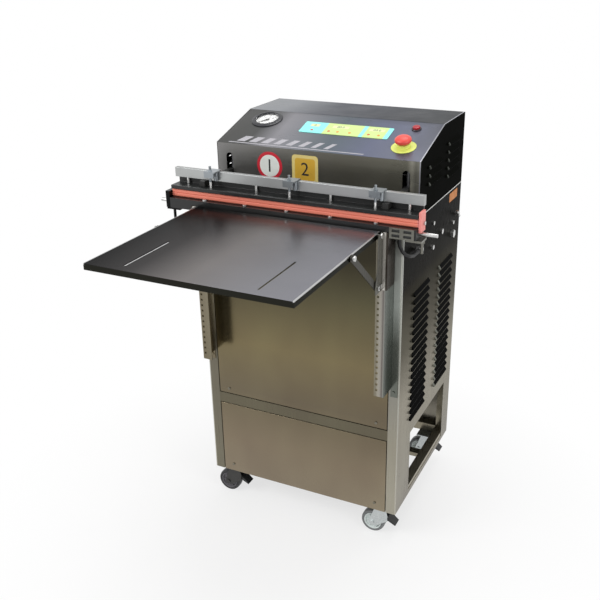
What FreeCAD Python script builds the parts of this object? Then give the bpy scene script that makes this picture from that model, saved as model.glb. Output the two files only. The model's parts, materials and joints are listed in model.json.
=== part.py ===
# Floor-standing vacuum sealer with an external jaw, on four braked casters.
# X runs to the operator's right, Y away from the operator and Z up. Lengths are millimetres.
# The model is drawn with the cabinet's front face at Y = 0 and the floor at Z = 0; save() then
# moves every piece so that the origin is under the middle of the machine's outline.
import FreeCAD, Part
import math
import os

V = FreeCAD.Vector

# ---- Cabinet ------------------------------------------------------------------------------
cab_half = 270.0          # half the cabinet's width
cab_depth = 446.0
caster_height = 88.0      # floor to the underside of the cabinet
body_height = 778.0       # cabinet underside to the top of its deck
sheet = 1.5               # stainless sheet of panels and hood
deck_sheet = 2.0
deck_overhang = 1.0       # bright edge that the deck leaves proud of the sides
seat = 0.2                # clearance between two pieces that rest on each other
corner_face = 27.0        # width of the side sheet that is folded round the front corner
rear_return = 20.0
panel_gap = 2.2           # open joint round the front panels
panel_flange = 15.0       # depth of a front panel's folded edge
screw_x = cab_half - 58.0
screw_head_r = 4.0
screw_head = 2.0
upper_screw_rise = 14.0
lower_screw_rise = 22.0
tube = 25.0               # square tube of the welded frame
tube_wall = 2.0
cross_rail_height = 12.0
lower_panel_height = 217.0
upper_panel_foot = 251.0  # cabinet underside to the upper panel's bottom edge
ledge_height = 25.0       # upstand behind the upper panel's bottom edge

z_base = caster_height
z_deck = z_base + body_height
z_sheet_top = z_deck - deck_sheet - seat
frame_half = cab_half - sheet - seat
frame_front = sheet + seat
frame_back = cab_depth - sheet - seat
panel_half = cab_half - corner_face - panel_gap
rail_half = cab_half - corner_face - seat
rail_front = panel_flange + seat

# ---- Side window and louvres -----------------------------------------------------------------
window_y = (98.0, 390.0)
window_rise = (13.0, 195.0)
louvre_length = 112.0
louvre_height = 11.0
louvre_reach = 6.0
louvre_lip = 2.0
louvre_wall = 1.2
louvre_pitch = 20.3
louvre_count = 18
louvre_foot = 240.0
louvre_columns = (136.0, 330.0)
head_louvre_length = 96.0
head_louvre_columns = ((204.0, 60.0, 3), (352.0, 43.0, 5))   # middle, rise above the deck, count
rear_louvre_columns = (-110.0, 110.0)
rear_louvre_count = 6
rear_louvre_foot = 300.0

# ---- Hood with the sloping control panel -------------------------------------------------------
hood_front = 103.0
hood_bend_1 = 130.0       # deck to the lower bend
hood_bend_2 = 182.0       # deck to the flat top
hood_slope_end = 279.0
hood_half = cab_half - sheet - seat
arm_x = cab_half - 35.5   # jaw arm and its slot in the hood front
arm_slot_width = 19.0
arm_slot = (40.0, 106.0)  # slot ends above the deck
z_bend_1 = z_deck + hood_bend_1
z_top = z_deck + hood_bend_2
slope = math.atan2(z_top - z_bend_1, hood_slope_end - hood_front)

# ---- Controls: x across and s up the slope from the lower bend ----------------------------------
gauge_x, gauge_s = -(cab_half - 77.0), 133.0
gauge_flange_r = 41.0
gauge_case_r = 31.0
gauge_dial_r = 30.0
gauge_flange_rise = 5.0
gauge_depth = 28.0
needle_length = 24.0
overlay_x = (-(cab_half - 189.0), cab_half - 115.0)
overlay_s = (85.0, 139.0)
overlay_thick = 1.0
overlay_corner = 9.0
estop_x, estop_s = cab_half - 63.0, 57.0
estop_disc_r = 30.0
estop_head_r = 20.0
estop_travel = 4.0
button_x, button_s = cab_half - 62.0, 147.0
button_r = 9.0
button_travel = 2.5
hole_clearance = 0.3
slide_fit = 0.06          # running clearance of a shaft in its bore

# ---- Jaws ----------------------------------------------------------------------------------------
jaw_half = 315.5
upper_half = jaw_half - 0.5
jaw_front = -53.0
jaw_back = -3.0
jaw_wall = 4.0
jaw_under = -3.0          # lower jaw's underside against the deck's top
jaw_height = 25.0
anvil_y = (-19.0, -7.0)
anvil_half = jaw_half - 10.5
anvil_rise = 8.0
lip_y = (-40.0, -22.0)
lip_height = 10.1
lip_round = 3.0
lip_gap = 0.3             # parting line of the closed lips
upper_front = -44.0
upper_back = -2.0
upper_plate = 8.7
upper_anvil = 6.3
jaw_travel = 36.0
foot_x = 150.0
foot_half = 40.0
foot_back = 50.0
foot_plate = 6.0
foot_bolt = 25.0
foot_bolt_y = 30.0
cap_thick = 6.0
cap_y = (-42.0, -12.0)
cap_below = 10.0
cap_above = 36.0
end_block_thick = 10.7
end_block_rise = 16.0
end_plate_x = (jaw_half - 25.5, jaw_half + 11.5)
end_plate_y = (-50.0, -16.0)
end_plate = 5.0
slot_plate_x = (jaw_half - 61.5, jaw_half - 4.5)      # slotted plate on the right end's front
slot_plate = 2.0
slot_half = 9.0
slot_pitch = 13.5
end_stud_x = jaw_half + 5.5
end_stud_r = 3.5
end_stud_drop = 30.0
shaft_r = 4.5
shaft_half = 356.0
shaft_y = -29.0
shaft_rise = 10.0
bolt_r = 5.0
bolt_head = 4.3
jaw_bolt_pitch = 110.0
bar_half = jaw_half + 3.5
bar_y = (-16.0, -4.0)
bar_height = 23.0
bar_standoff = 14.0
clamp_pitch = arm_x - 23.5
post_x = (96.0, bar_half - 34.0)
clamp_half = 13.0
clamp_front = -36.0
clamp_plate = 3.0
clamp_nut = 3.5
hook_x = 12.0            # hook of the clamp in front of the bar, beside the stud
hook_r = 5.0
web_thick = 4.5
stud_y = -28.0
stud_r = 3.0
stud_above = 12.0
arm_half = 7.0
arm_height = 13.4
arm_start = -30.0
yoke_y = (135.0, 150.0)
guide_y = 122.0
guide_r = 6.0
guide_boss_r = 11.0
cylinder_x = arm_x - 34.5
cylinder_r = 24.0
cylinder_length = 150.0
cylinder_cap = 20.0
rod_r = 8.0
rod_in_cylinder = 45.0

# ---- Nozzles ---------------------------------------------------------------------------------------
nozzle_x = 120.0
nozzle_half = 16.0
nozzle_thick = 5.0
nozzle_wall = 1.0
nozzle_over_lip = 0.9
nozzle_tip = 2.0
nozzle_travel = 54.0
carriage_y = (172.0, 192.0)
carriage_half = 150.0
slide_x = 106.0
slide_half = 6.0
slide_spare = 8.0

# ---- Table, its racks and brackets -------------------------------------------------------------------
table_half = cab_half - 36.0
table_front = -473.0
table_back = -59.0
table_over_deck = 11.0
table_sheet = 2.0
table_flange = 14.0
table_slot_x = 150.0
table_slot_y = (-452.0, -297.0)
table_slot_width = 5.0
rack_x = (cab_half - 45.0, cab_half - 20.0)
rack_front = -54.0
rack_sheet = 2.0
rack_flange = 16.0
rack_spare = 97.0         # rack left below the bracket at the table's lowest setting
rack_tail = 24.0          # rear flange that runs on below
rack_slot_pitch = 15.0
rack_slot = (3.9, 9.1)    # slot's two sides from the rack's left edge
rack_slot_height = 5.0
rack_top_gap = 8.0
bracket_sheet = 2.5
bracket_clear = 0.4
bracket_drop = 138.0
bracket_height = 136.0
ear_x = cab_half - 32.0
ear_front = -92.0
strut_thick = 2.8
strut_half = 8.0
strut_table_y = -217.0
strut_foot_y = -78.0
strut_foot_rise = 12.0
pin_r = 4.0
hinge_y = -66.0
pin_drop = 8.0
table_travel = 180.0

# ---- Casters ---------------------------------------------------------------------------------------------
caster_x = cab_half - 48.0
caster_y = 32.0
caster_plate_half = 27.0
caster_plate = 3.0
wheel_r = 32.5
wheel_width = 24.0
hub_r = 13.0
axle_r = 4.0
axle_nut = 2.5
trail = 22.0
fork_sheet = 2.5
fork_gap = 2.0
race_r = 21.0
race_height = 6.0
kingpin_r = 6.0
pedal_reach = 42.0
pedal_pivot_x = 17.0
pedal_pivot_z = 54.0
pedal_pin_r = 2.5

# ---- Inside and rear --------------------------------------------------------------------------------------
pump_x = (40.0, 190.0)
pump_y = (160.0, 300.0)
pump_height = 150.0
motor_r = 62.0
motor_length = 175.0
motor_rise = 78.0
hose_r = 9.0
jaw_hose_r = 4.0
inlet_reach = 16.0
inlet_x, inlet_r = -(cab_half - 120.0), 4.0
gland_x, gland_r = -(cab_half - 70.0), 11.0
inlet_z = z_deck + 40.0
valve_half = 70.0
valve_y = (200.0, 280.0)
valve_height = 80.0
coil_r = 14.0
coil_length = 34.0
coil_pitch = 42.0
hose_bend = 60.0
jaw_hose_bend = 24.0
control_box_x = (-190.0, -30.0)
control_box_depth = 95.0
control_box_rise = (480.0, 690.0)
side_spots = ((71.0, 125.0, 11.0, 9.0), (67.0, 95.0, 5.5, 5.0), (164.0, 90.0, 7.5, 5.0),
              (232.0, 48.0, 5.5, 3.0), (239.0, 108.0, 6.5, 6.0))    # from back, below deck, radius, reach
lever_spot = (43.0, 77.0)
lever_length = 30.0
elbow_y = 88.0
elbow_drop = 70.0
back_y = cab_depth + inlet_reach

y_shift = -(table_front + back_y) / 2


def box(x, y, z):
    """A block between the low and high value of each axis."""
    return Part.makeBox(x[1] - x[0], y[1] - y[0], z[1] - z[0], V(x[0], y[0], z[0]))


def rod(start, axis, radius, length):
    return Part.makeCylinder(radius, length, V(*start), V(*axis))


def prism(points, direction):
    """A flat outline of 3D points, carried along a direction."""
    corners = [V(*p) for p in points]
    return Part.Face(Part.makePolygon(corners + corners[:1])).extrude(V(*direction))


def along_x(outline, x):
    return prism([(x[0], y, z) for y, z in outline], (x[1] - x[0], 0, 0))


def along_y(outline, y):
    return prism([(x, y[0], z) for x, z in outline], (0, y[1] - y[0], 0))


def along_z(outline, z):
    return prism([(x, y, z[0]) for x, y in outline], (0, 0, z[1] - z[0]))


def mirrored(shape):
    return shape.mirror(V(0, 0, 0), V(1, 0, 0))


def both(*shapes):
    return list(shapes) + [mirrored(s) for s in shapes]


def fused(shapes):
    return shapes[0].multiFuse(shapes[1:]).removeSplitter()


def cut(shape, tools):
    return shape.cut(Part.makeCompound(tools))


def square_tube(x, y, z, axis):
    """Square tube between three ranges, hollow along the named axis."""
    ranges = {"x": x, "y": y, "z": z}
    inner = {k: r if k == axis else (r[0] + tube_wall, r[1] - tube_wall) for k, r in ranges.items()}
    return box(x, y, z).cut(box(inner["x"], inner["y"], inner["z"]))


def hexagon(centre, radius, height):
    x, y, z = centre
    turns = [math.radians(60 * k) for k in range(6)]
    outline = [(x + radius * math.cos(a), y + radius * math.sin(a)) for a in turns]
    return along_z(outline, (z, z + height))


def hex_along(start, axis, radius, length):
    """Hexagonal head or nut along X or Y."""
    body = hexagon((0, 0, 0), radius, length)
    if axis[0]:
        body.rotate(V(0, 0, 0), V(0, 1, 0), 90)
    else:
        body.rotate(V(0, 0, 0), V(1, 0, 0), -90)
    body.translate(V(*start))
    return body


def on_slope(shape):
    """Move a piece drawn on the XY plane to the sloping panel, with +Z along its normal."""
    placed = shape.copy()
    placed.rotate(V(0, 0, 0), V(1, 0, 0), math.degrees(slope))
    placed.translate(V(0, hood_front, z_bend_1))
    return placed


def save(node, *shapes):
    solids = [s for shape in shapes for s in shape.Solids]
    group = Part.makeCompound(solids) if len(solids) > 1 else solids[0]
    group.translate(V(0, y_shift, 0))
    os.makedirs("parts", exist_ok=True)
    group.exportStep("parts/" + node + ".step")


# ---- Louvred sheet ------------------------------------------------------------------------------------------
def louvre(length):
    """Pressed hood that opens downwards; it stands on the X = 0 plane and runs along Y."""
    half = length / 2
    inner = half - louvre_wall
    reach = louvre_reach - louvre_wall
    outside = [(0, 0), (louvre_reach, 0), (louvre_reach, louvre_lip), (0, louvre_height)]
    top = louvre_height - louvre_wall * 1.4
    inside = [(-1, -1), (reach, -1), (reach, louvre_lip - louvre_wall * 0.4), (0, top), (-1, top)]
    shell = along_y(outside, (-half, half))
    return shell.cut(along_y(inside, (-inner, inner)))


def louvred(plate, places, length, face, slot_depth):
    """Cut a slot for each louvre in a plate at X = face, and put the hoods on its outside."""
    hood = louvre(length)
    inner = length / 2 - louvre_wall
    slot = box((face - slot_depth, face), (-inner, inner), (0, louvre_height - louvre_wall * 1.4))
    slots = []
    hoods = []
    for y, z in places:
        one_slot = slot.copy()
        one_slot.translate(V(0, y, z))
        slots.append(one_slot)
        one_hood = hood.copy()
        one_hood.translate(V(face, y, z))
        hoods.append(one_hood)
    return fused([cut(plate, slots)] + hoods)


# ---- Welded frame ------------------------------------------------------------------------------------------
def make_frame():
    inner = frame_half - tube
    posts = []
    for y in (frame_front, frame_back - tube):
        posts += both(square_tube((inner, frame_half), (y, y + tube), (z_base, z_sheet_top), "z"))
    save("frame_posts", *posts)

    side_y = (frame_front + tube + seat, frame_back - tube - seat)
    cross = inner - seat
    rails = []
    for z in (z_base, z_sheet_top - tube):
        rails += both(square_tube((inner, frame_half), side_y, (z, z + tube), "y"))
        rails.append(square_tube((-cross, cross), (rail_front, rail_front + tube), (z, z + tube), "x"))
        rails.append(square_tube((-cross, cross), (frame_back - tube, frame_back), (z, z + tube), "x"))
    for y in (pump_y[0], pump_y[1] - tube):
        rails.append(box((-cross, cross), (y, y + tube), (z_base, z_base + cross_rail_height)))
    low = z_base + lower_panel_height + panel_gap
    high = z_base + upper_panel_foot - panel_gap
    mid = square_tube((-rail_half, rail_half), (0, tube), (low, high), "x")
    ledge = box((-cross, cross), (rail_front, tube), (high, high + ledge_height))
    rails.append(mid.fuse(ledge))
    save("frame_rails", *rails)


# ---- Cabinet skin ----------------------------------------------------------------------------------------
def make_side_panel():
    z = (z_base, z_sheet_top)
    skin = box((cab_half - sheet, cab_half), (0, cab_depth), z)
    front = box((cab_half - corner_face, cab_half), (0, sheet), z)
    rear = box((cab_half - rear_return, cab_half), (cab_depth - sheet, cab_depth), z)
    window = box((cab_half - sheet, cab_half), window_y, [z_base + h for h in window_rise])
    skin = fused([skin, front, rear]).cut(window)
    rows = [z_base + louvre_foot + k * louvre_pitch for k in range(louvre_count)]
    places = [(y, z) for y in louvre_columns for z in rows]
    panel = louvred(skin, places, louvre_length, cab_half, sheet)
    save("side_panel_right", panel)
    save("side_panel_left", mirrored(panel))


def front_panel(z):
    """Tray-shaped panel: flat face with four folded edges."""
    outer = box((-panel_half, panel_half), (0, panel_flange), z)
    hollow_x = (-panel_half + sheet, panel_half - sheet)
    hollow = box(hollow_x, (sheet, panel_flange), (z[0] + sheet, z[1] - sheet))
    return outer.cut(hollow)


def make_front_panels():
    """Two trays and the heads of the screws that hold them."""
    upper = (z_base + upper_panel_foot, z_sheet_top - panel_gap)
    lower = (z_base, z_base + lower_panel_height)
    save("upper_panel", front_panel(upper))
    save("lower_panel", front_panel(lower))
    rows = (upper[0] + upper_screw_rise, lower[0] + lower_screw_rise)
    screws = [hex_along((screw_x, -seat - screw_head, z), (0, 1, 0), screw_head_r, screw_head) for z in rows]
    save("panel_screws", *both(*screws))


def make_rear_panel():
    half = cab_half - rear_return - hole_clearance
    y = (cab_depth - sheet, cab_depth)
    plate = box((cab_depth - sheet, cab_depth), (-half, half), (z_base, z_sheet_top))
    rows = [z_base + rear_louvre_foot + k * louvre_pitch for k in range(rear_louvre_count)]
    places = [(x, z) for x in rear_louvre_columns for z in rows]
    panel = louvred(plate, places, louvre_length, y[1], sheet)
    panel.rotate(V(0, 0, 0), V(0, 0, 1), 90)
    save("rear_panel", panel)


def make_deck():
    """Top plate of the cabinet, with rod holes and the two slides of the nozzle carriage."""
    half = cab_half + deck_overhang
    plate = box((-half, half), (0, cab_depth), (z_deck - deck_sheet, z_deck))
    slide_y = (carriage_y[0] - nozzle_travel - slide_spare, carriage_y[1] + slide_spare)
    slide = box((slide_x - slide_half, slide_x + slide_half), slide_y,
                (z_deck, nozzle_z - 14.5))
    rod_hole = rod((cylinder_x, sum(yoke_y) / 2, z_deck - 5), (0, 0, 1), rod_r + 1, 10)
    deck = fused([plate] + both(slide))
    save("top_deck", cut(deck, both(rod_hole)))


# ---- Hood ---------------------------------------------------------------------------------------------------
def hood_outline(inset):
    """Outline of the hood from front foot to rear top, moved inwards by inset."""
    run = math.tan(slope)
    shift_y = inset * math.sin(slope)
    shift_z = inset * math.cos(slope)
    front = hood_front + inset
    z_low = z_bend_1 - shift_z + (front - hood_front - shift_y) * run
    z_high = z_top - inset
    y_high = hood_front + shift_y + (z_high - z_bend_1 + shift_z) / run
    return [(front, z_deck + seat), (front, z_low), (y_high, z_high), (cab_depth, z_high)]


def make_hood():
    outline = hood_outline(0) + hood_outline(sheet)[::-1]
    cover = along_x(outline, (-hood_half, hood_half))
    low, high = [z_deck + h for h in arm_slot]
    half = arm_slot_width / 2
    through = (hood_front - 1, hood_front + sheet + 1)
    slot = box((arm_x - half, arm_x + half), through, (low + half, high - half))
    ends = [rod((arm_x, through[0], z), (0, 1, 0), half, sheet + 2) for z in (low + half, high - half)]
    way = nozzle_half + 1.5
    nozzle_way = box((nozzle_x - way, nozzle_x + way), through, (nozzle_z - 1.5, nozzle_z + nozzle_thick + 1.5))
    holes = []
    for x, s, radius in ((gauge_x, gauge_s, gauge_case_r), (estop_x, estop_s, 11.0),
                         (button_x, button_s, button_r + 1)):
        holes.append(on_slope(rod((x, s, -10), (0, 0, 1), radius + hole_clearance, 20)))
    tools = both(slot, *ends) + both(nozzle_way) + holes
    save("hood_cover", cut(cover, tools))

    cheek_outline = hood_outline(0) + [(cab_depth, z_deck + seat)]
    cheek = along_x(cheek_outline, (cab_half - sheet, cab_half))
    for middle, rise, count in head_louvre_columns:
        places = [(middle, z_deck + rise + k * louvre_pitch) for k in range(count)]
        cheek = louvred(cheek, places, head_louvre_length, cab_half, sheet)
    save("hood_side_right", cheek)
    save("hood_side_left", mirrored(cheek))
    back_z = (z_deck + seat, z_top - sheet - seat)
    save("hood_back", box((-hood_half, hood_half), (cab_depth - sheet, cab_depth), back_z))


# ---- Controls on the slope -----------------------------------------------------------------------------------
def make_gauge():
    """Vacuum gauge: flanged case, dial, glass and needle, all round the same axis."""
    centre = V(gauge_x, gauge_s, 0)
    bottom = -gauge_depth
    dial_z = -2.0
    bore = gauge_dial_r + hole_clearance
    outline = [(0, bottom), (gauge_case_r, bottom), (gauge_case_r, seat), (gauge_flange_r, seat),
               (gauge_flange_r, seat + 2.0), (gauge_case_r + 3, gauge_flange_rise),
               (bore, gauge_flange_rise), (bore, dial_z - 1.2), (0, dial_z - 1.2)]
    ring = Part.Face(Part.makePolygon([V(r, 0, z) for r, z in outline + outline[:1]]))
    case = ring.revolve(V(0, 0, 0), V(0, 0, 1), 360)
    dial = rod((0, 0, dial_z - 1.0), (0, 0, 1), gauge_dial_r, 1.0)
    pivot = rod((0, 0, dial_z), (0, 0, 1), 1.5, 3.5)
    glass = rod((0, 0, dial_z + 4.5), (0, 0, 1), gauge_dial_r, 1.5)
    tip = [(-6, -1.6), (0, -1.9), (needle_length, -0.5), (needle_length, 0.5), (0, 1.9), (-6, 1.6)]
    blade = along_z(tip, (dial_z + 1.6, dial_z + 2.4))
    boss = rod((0, 0, dial_z + 1.2), (0, 0, 1), 3.5, 2.0)
    needle = blade.fuse(boss).cut(rod((0, 0, dial_z), (0, 0, 1), 1.5 + slide_fit, 6))
    needle.rotate(V(0, 0, 0), V(0, 0, 1), 225)
    for node, shape in (("gauge_case", case), ("gauge_dial", dial.fuse(pivot)), ("gauge_glass", glass),
                        ("gauge_needle", needle)):
        shape.translate(centre)
        save(node, on_slope(shape))


def make_overlay():
    x0, x1 = overlay_x
    s0, s1 = overlay_s
    c = overlay_corner
    outline = [(x0 + c, s0), (x1 - 2 * c, s0), (x1, s0 + 2 * c), (x1, s1 - c), (x1 - c, s1), (x0 + c, s1),
               (x0, s1 - c), (x0, s0 + c)]
    save("control_overlay", on_slope(along_z(outline, (seat, seat + overlay_thick))))


def turned(outline, centre):
    """Solid of revolution about the slope's normal through a point of the slope."""
    face = Part.Face(Part.makePolygon([V(r, 0, z) for r, z in outline + outline[:1]]))
    body = face.revolve(V(0, 0, 0), V(0, 0, 1), 360)
    body.translate(V(centre[0], centre[1], 0))
    return on_slope(body)


def make_stop_button():
    bore = 7.0
    collar = 16.0
    rise = 10.0
    base = [(bore + slide_fit, -20), (11, -20), (11, seat), (estop_disc_r, seat), (estop_disc_r, 1.5),
            (collar, 2.5), (collar - 1, rise), (bore + slide_fit, rise)]
    save("stop_base", turned(base, (estop_x, estop_s)))
    low = rise + estop_travel + 0.8
    r = estop_head_r
    head = [(0, -15), (bore, -15), (bore, low), (r - 2, low), (r, low + 2), (r, low + 7), (r - 3, low + 11),
            (r - 9, low + 13.5), (0, low + 14.5)]
    save("stop_button", turned(head, (estop_x, estop_s)))


def make_push_button():
    r = button_r
    bezel = [(r - 1 + slide_fit, -14), (r + 1, -14), (r + 1, seat), (r + 3, seat), (r + 3, 2.0), (r + 2, 3.2),
             (r + 0.4, 3.2), (r + 0.4, seat), (r - 1 + slide_fit, seat)]
    save("button_bezel", turned(bezel, (button_x, button_s)))
    low = seat + button_travel + 0.4
    cap = [(0, -10), (r - 1, -10), (r - 1, low), (r, low), (r, low + 3.5), (r - 1.5, low + 4.5), (0, low + 5)]
    save("push_button", turned(cap, (button_x, button_s)))


# ---- Lower jaw ----------------------------------------------------------------------------------------------
z_jaw_low = z_deck + jaw_under
z_jaw_top = z_jaw_low + jaw_height
z_lip = z_jaw_top + seat + lip_height          # top of the lower lip
z_shaft = z_jaw_low + shaft_rise
nozzle_z = z_lip + nozzle_over_lip


def lip(x, z, round_low):
    """Silicone strip whose outer edge is eased on the side that shows."""
    c = lip_round
    y0, y1 = lip_y
    low, high = (c / 3, c) if round_low else (c, c / 3)
    outline = [(y0 + low, z[0]), (y1, z[0]), (y1, z[1]), (y0 + high, z[1]), (y0, z[1] - high),
               (y0, z[0] + low)]
    return along_x(outline, x)


def make_lower_jaw():
    z = (z_jaw_low, z_jaw_top)
    shell = box((-jaw_half, jaw_half), (jaw_front, jaw_back), z)
    inner_x = (-jaw_half + jaw_wall, jaw_half - jaw_wall)
    shell = shell.cut(box(inner_x, (jaw_front + jaw_wall, jaw_back - jaw_wall), (z[0], z[1] - jaw_wall)))
    anvil = box((-anvil_half, anvil_half), anvil_y, (z[1], z[1] + anvil_rise))
    foot_z = (z_deck + seat, z_deck + seat + foot_plate)
    foot = box((foot_x - foot_half, foot_x + foot_half), (jaw_back - 1, foot_back), foot_z)
    beam = fused([shell, anvil] + both(foot))
    bore = rod((-shaft_half, shaft_y, z_shaft), (1, 0, 0), shaft_r + hole_clearance, 2 * shaft_half)
    save("lower_jaw", beam.cut(bore))

    strip = lip((-jaw_half, jaw_half), (z_jaw_top + seat, z_lip), False)
    cap_x = (jaw_half + 0.5, jaw_half + 0.5 + cap_thick)
    cap = box(cap_x, cap_y, (z_jaw_top - cap_below, z_jaw_top + cap_above))
    save("lower_lip", strip, cap)


def make_jaw_hardware():
    """End block, end brackets with hanging studs, cross shaft and bolts of the lower jaw."""
    block = box((-jaw_half - hole_clearance - end_block_thick, -jaw_half - hole_clearance),
                (jaw_front, cap_y[1] - 8), (z_jaw_low, z_jaw_top + end_block_rise))
    block = block.cut(rod((-jaw_half - 50, shaft_y, z_shaft), (1, 0, 0), shaft_r + hole_clearance, 100))
    plate_z = (z_jaw_low - seat - end_plate, z_jaw_low - seat)
    plate = box(end_plate_x, end_plate_y, plate_z)
    stud = rod((end_stud_x, stud_y, plate_z[0] - end_stud_drop), (0, 0, 1), end_stud_r, end_stud_drop + 2)
    nut = hexagon((end_stud_x, stud_y, plate_z[0] - 6), end_stud_r + 3, 6)
    front = box(slot_plate_x, (jaw_front - seat - slot_plate, jaw_front - seat),
                (plate_z[1], z_jaw_top))
    middle = sum(slot_plate_x) / 2
    slots = [box((middle + side - slot_half, middle + side + slot_half), (jaw_front - 5, jaw_front), z)
             for side in (-slot_pitch, slot_pitch)
             for z in ((z_jaw_top - 10, z_jaw_top - 4), (z_jaw_low + 4, z_jaw_low + 10))]
    save("jaw_end_brackets", block, cut(front, slots), *both(fused([plate, stud, nut])))

    save("cross_shaft", rod((-shaft_half, shaft_y, z_shaft), (1, 0, 0), shaft_r, 2 * shaft_half))

    bolts = [hexagon((k * jaw_bolt_pitch, -46.5, z_jaw_top + seat), bolt_r, bolt_head) for k in range(-2, 3)]
    foot_top = z_deck + seat + foot_plate
    for x in (foot_x - foot_bolt, foot_x + foot_bolt):
        bolts += both(hexagon((x, foot_bolt_y, foot_top + seat), bolt_r, bolt_head))
    cap_face = jaw_half + 0.5 + cap_thick
    bolts.append(rod((cap_face + seat, -22, z_jaw_top + 8), (1, 0, 0), 4.5, 3))
    save("jaw_bolts", *bolts)


# ---- Upper jaw ---------------------------------------------------------------------------------------------
z_upper_low = z_lip + lip_gap + lip_height + seat
z_upper_top = z_upper_low + upper_plate
z_bar_low = z_upper_top + bar_standoff
z_bar_top = z_bar_low + bar_height
z_arm = (z_upper_top + seat, z_upper_top + seat + arm_height)


def make_upper_jaw():
    plate = box((-upper_half, upper_half), (upper_front, upper_back), (z_upper_low, z_upper_top))
    anvil = box((-anvil_half, anvil_half), anvil_y, (z_upper_low - upper_anvil, z_upper_low))
    web = box((-upper_half, upper_half), (upper_back - web_thick, upper_back), (z_upper_top, z_bar_low - seat))
    notch_half = arm_half + hole_clearance
    notch = box((arm_x - notch_half, arm_x + notch_half), (upper_back - web_thick - 1, upper_back + 1),
                (z_upper_top, z_bar_low))
    save("upper_jaw", cut(fused([plate, anvil, web]), both(notch)))
    save("upper_lip", lip((-upper_half, upper_half), (z_lip + lip_gap, z_upper_low - seat), True))

    save("seal_bar", box((-bar_half, bar_half), bar_y, (z_bar_low, z_bar_top)))

    posts = [rod((x, bar_y[0] + 4, z_upper_top + seat), (0, 0, 1), stud_r, bar_standoff - 2 * seat)
             for x in post_x]
    clamps = both(*posts)
    plate_z = (z_bar_top + seat, z_bar_top + seat + clamp_plate)
    for x in (-clamp_pitch, 0, clamp_pitch):
        top = box((x - clamp_half, x + hook_x + hook_r), (clamp_front, bar_y[1]), plate_z)
        tab = box((x - clamp_half, x + clamp_half), (clamp_front, clamp_front + clamp_plate),
                  (plate_z[0] - 12, plate_z[0]))
        foot = z_upper_top + seat
        bolt = rod((x, stud_y, foot), (0, 0, 1), stud_r, plate_z[1] + stud_above - foot)
        nut = hexagon((x, stud_y, plate_z[1]), stud_r + 2.5, clamp_nut)
        hook = rod((x + hook_x, bar_y[0] - hook_r - hole_clearance, z_bar_low + 3), (0, 0, 1), hook_r,
                   plate_z[1] - z_bar_low - 3)
        clamps.append(fused([top, tab, bolt, nut, hook]))
    save("bar_clamps", *clamps)


def make_jaw_arms():
    """Two arms on guide rods, the yoke that joins them and the rods of the two cylinders."""
    arm = box((arm_x - arm_half, arm_x + arm_half), (arm_start, yoke_y[0] - seat), z_arm)
    boss = rod((arm_x, guide_y, z_arm[0]), (0, 0, 1), guide_boss_r, arm_height)
    bore = rod((arm_x, guide_y, z_arm[0] - 1), (0, 0, 1), guide_r + slide_fit, arm_height + 2)
    arm = fused([arm, boss]).cut(bore)
    yoke = box((-arm_x - arm_half, arm_x + arm_half), yoke_y, z_arm)
    low = z_deck - rod_in_cylinder
    piston_rod = rod((cylinder_x, sum(yoke_y) / 2, low), (0, 0, 1), rod_r, z_arm[0] - seat - low)
    save("jaw_arms", yoke, *both(arm, piston_rod))

    body_z = z_sheet_top - cylinder_length
    centre_y = sum(yoke_y) / 2
    body = rod((cylinder_x, centre_y, body_z), (0, 0, 1), cylinder_r, cylinder_length)
    block_x = (cylinder_x - cylinder_r, cylinder_x + cylinder_r)
    block_y = (centre_y - cylinder_r, centre_y + cylinder_r)
    cap = box(block_x, block_y, (z_sheet_top - cylinder_cap, z_sheet_top))
    foot = box(block_x, block_y, (body_z, body_z + cylinder_cap))
    bore = rod((cylinder_x, centre_y, z_deck - 48), (0, 0, 1), rod_r + slide_fit, 60)
    cylinder = fused([body, cap, foot]).cut(bore)
    guide = rod((arm_x, guide_y, z_deck + seat), (0, 0, 1), guide_r, z_arm[1] + jaw_travel + 12 - z_deck)
    save("jaw_cylinders", *both(cylinder, guide))


def make_nozzles():
    """Two flat suction tubes on one carriage, which slides forward between the open jaws."""
    x = (nozzle_x - nozzle_half, nozzle_x + nozzle_half)
    z = (nozzle_z, nozzle_z + nozzle_thick)
    flat = box(x, (nozzle_tip, carriage_y[0] + 1), z)
    way = box((x[0] + nozzle_wall, x[1] - nozzle_wall), (nozzle_tip, carriage_y[0] + 1),
              (z[0] + nozzle_wall, z[1] - nozzle_wall))
    block = box((-carriage_half, carriage_half), carriage_y, (nozzle_z - 14.2, nozzle_z + 10))
    block = cut(block, both(way))
    save("nozzle_carriage", fused([block] + both(flat.cut(way))))


# ---- Table --------------------------------------------------------------------------------------------------
z_table = z_deck + table_over_deck
z_hinge = z_table - pin_drop
z_bracket = (z_table - bracket_drop, z_table - bracket_drop + bracket_height)
bracket_front = rack_front - bracket_clear - bracket_sheet


def make_table():
    """Tray-shaped table top: flat face, four folded edges and two slots for a bag stop."""
    y = (table_front, table_back)
    outer = box((-table_half, table_half), y, (z_table - table_flange, z_table))
    inner = box((-table_half + sheet, table_half - sheet), (y[0] + sheet, y[1] - sheet),
                (z_table - table_flange, z_table - table_sheet))
    slot = box((table_slot_x - table_slot_width / 2, table_slot_x + table_slot_width / 2), table_slot_y,
               (z_table - 5, z_table + 5))
    pins = [rod((table_half - 5, y, z_hinge), (1, 0, 0), pin_r + hole_clearance, 10)
            for y in (hinge_y, strut_table_y)]
    save("table_top", cut(outer.cut(inner), both(slot, *pins)))


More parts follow.
